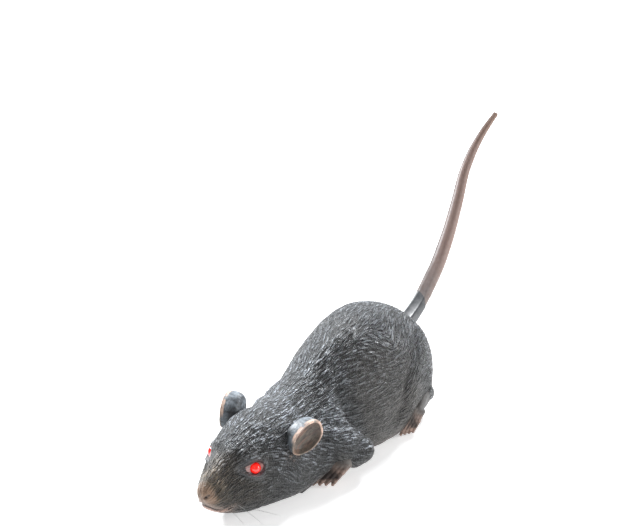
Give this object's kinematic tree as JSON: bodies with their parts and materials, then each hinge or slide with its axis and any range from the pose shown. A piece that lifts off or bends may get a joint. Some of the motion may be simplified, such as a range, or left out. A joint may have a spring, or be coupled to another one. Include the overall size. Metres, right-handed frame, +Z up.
{
  "type": "radio-controlled toy rat",
  "caption": "Crouching toy rat with a moulded fur skin, glowing eyes and a long curved tail, driven by geared motors on a wheeled chassis.",
  "frame": {"origin": "middle of the overall box, on the ground under the wheels", "axes": "+Z up, nose toward -Y, tail toward +Y, the rat's left side toward +X"},
  "size_m": [0.0656, 0.2908, 0.1095],
  "materials": {
    "skin_vinyl": "moulded fur texture, matte with silvery dry-brushed ridges",
    "ear_vinyl": "matte, chipped pink rim",
    "tail_vinyl": "satin smooth",
    "tail_root_vinyl": "glossy",
    "whisker_nylon": "fine bristle",
    "led_red": "translucent, lit",
    "black_plastic": "moulded",
    "gearbox_plastic": "moulded",
    "screw_steel": "plated",
    "cell_wrap": "shrink wrap",
    "spring_steel": "nickel plated",
    "contact_steel": "nickel plated",
    "board_green": "solder mask",
    "chip_black": "moulded",
    "capacitor_blue": "sleeve",
    "wire_red": "insulated",
    "wire_yellow": "insulated",
    "wire_black": "insulated",
    "knob_white": "moulded",
    "motor_steel": "pressed can",
    "motor_end_nylon": "moulded",
    "pinion_brass": "machined",
    "gear_acetal": "moulded",
    "tyre_rubber": "matte"
  },
  "bodies": {
    "chassis": {"body_skin": "skin_vinyl", "ear_left": "ear_vinyl", "ear_right": "ear_vinyl", "tail": "tail_vinyl", "tail_root": "tail_root_vinyl", "whiskers_left": "whisker_nylon", "whiskers_right": "whisker_nylon", "eye_led_left": "led_red", "eye_led_right": "led_red", "eye_led_legs": "spring_steel", "chassis_tray": "black_plastic", "gearbox_cover_left": "gearbox_plastic", "gearbox_cover_right": "gearbox_plastic", "gearbox_screws": "screw_steel", "body_screws": "screw_steel", "battery_cell_1": "cell_wrap", "battery_cell_2": "cell_wrap", "battery_cell_3": "cell_wrap", "battery_springs": "spring_steel", "battery_contact_plates": "contact_steel", "circuit_board": "board_green", "receiver_chip": "chip_black", "crystal_can": "contact_steel", "capacitors": "capacitor_blue", "tuning_coil": "contact_steel", "drive_transistors": "chip_black", "antenna_wire": "wire_black", "eye_wires": "wire_red", "motor_wires": "wire_yellow", "battery_wires": "wire_red", "switch_housing": "gearbox_plastic", "wheel_axle": "screw_steel", "axle_caps": "screw_steel", "motor_can_left": "motor_steel", "motor_can_right": "motor_steel", "motor_end_left": "motor_end_nylon", "motor_end_right": "motor_end_nylon", "reduction_pins": "screw_steel"},
    "battery_door": {"battery_door": "black_plastic", "battery_door_screw": "screw_steel"},
    "switch_knob": {"switch_knob": "knob_white"},
    "wheel_left": {"wheel_hub_left": "gear_acetal", "tyre_left": "tyre_rubber"},
    "wheel_right": {"wheel_hub_right": "gear_acetal", "tyre_right": "tyre_rubber"},
    "reduction_left": {"reduction_gear_left": "gear_acetal"},
    "reduction_right": {"reduction_gear_right": "gear_acetal"},
    "rotor_left": {"motor_shaft_left": "screw_steel", "motor_pinion_left": "pinion_brass"},
    "rotor_right": {"motor_shaft_right": "screw_steel", "motor_pinion_right": "pinion_brass"},
    "caster_fork": {"caster_fork": "gearbox_plastic", "caster_pin": "screw_steel", "caster_clip": "screw_steel"},
    "caster_wheel": {"caster_wheel": "gear_acetal"}
  },
  "joints": [
    {"name": "wheel_left_spin", "type": "hinge", "parent": "chassis", "child": "wheel_left", "pos_m": [0.023, -0.01845, 0.013], "axis": [1, 0, 0], "continuous": true},
    {"name": "wheel_right_spin", "type": "hinge", "parent": "chassis", "child": "wheel_right", "pos_m": [-0.023, -0.01845, 0.013], "axis": [1, 0, 0], "continuous": true},
    {"name": "reduction_left_spin", "type": "hinge", "parent": "chassis", "child": "reduction_left", "pos_m": [0.013, -0.02645, 0.019], "axis": [1, 0, 0], "continuous": true},
    {"name": "reduction_right_spin", "type": "hinge", "parent": "chassis", "child": "reduction_right", "pos_m": [-0.013, -0.01045, 0.019], "axis": [1, 0, 0], "continuous": true},
    {"name": "rotor_left_spin", "type": "hinge", "parent": "chassis", "child": "rotor_left", "pos_m": [0, -0.03625, 0.017], "axis": [1, 0, 0], "continuous": true},
    {"name": "rotor_right_spin", "type": "hinge", "parent": "chassis", "child": "rotor_right", "pos_m": [0, -0.00065, 0.017], "axis": [1, 0, 0], "continuous": true},
    {"name": "caster_swivel", "type": "hinge", "parent": "chassis", "child": "caster_fork", "pos_m": [0, -0.10975, 0.012], "axis": [0, 0, 1], "continuous": true},
    {"name": "caster_wheel_spin", "type": "hinge", "parent": "caster_fork", "child": "caster_wheel", "pos_m": [0, -0.10625, 0.0045], "axis": [1, 0, 0], "continuous": true},
    {"name": "battery_door_open", "type": "hinge", "parent": "chassis", "child": "battery_door", "pos_m": [0, -0.09805, 0.004], "axis": [-1, 0, 0], "range_deg": [0, 75]},
    {"name": "switch_slide", "type": "slide", "parent": "chassis", "child": "switch_knob", "axis": [1, 0, 0], "range_m": [0, 0.0062]}
  ],
  "couplings": [
    {"joint": "reduction_left_spin", "follows": "wheel_left_spin", "ratio": -3},
    {"joint": "rotor_left_spin", "follows": "wheel_left_spin", "ratio": 9},
    {"joint": "reduction_right_spin", "follows": "wheel_right_spin", "ratio": -3},
    {"joint": "rotor_right_spin", "follows": "wheel_right_spin", "ratio": 9}
  ]
}
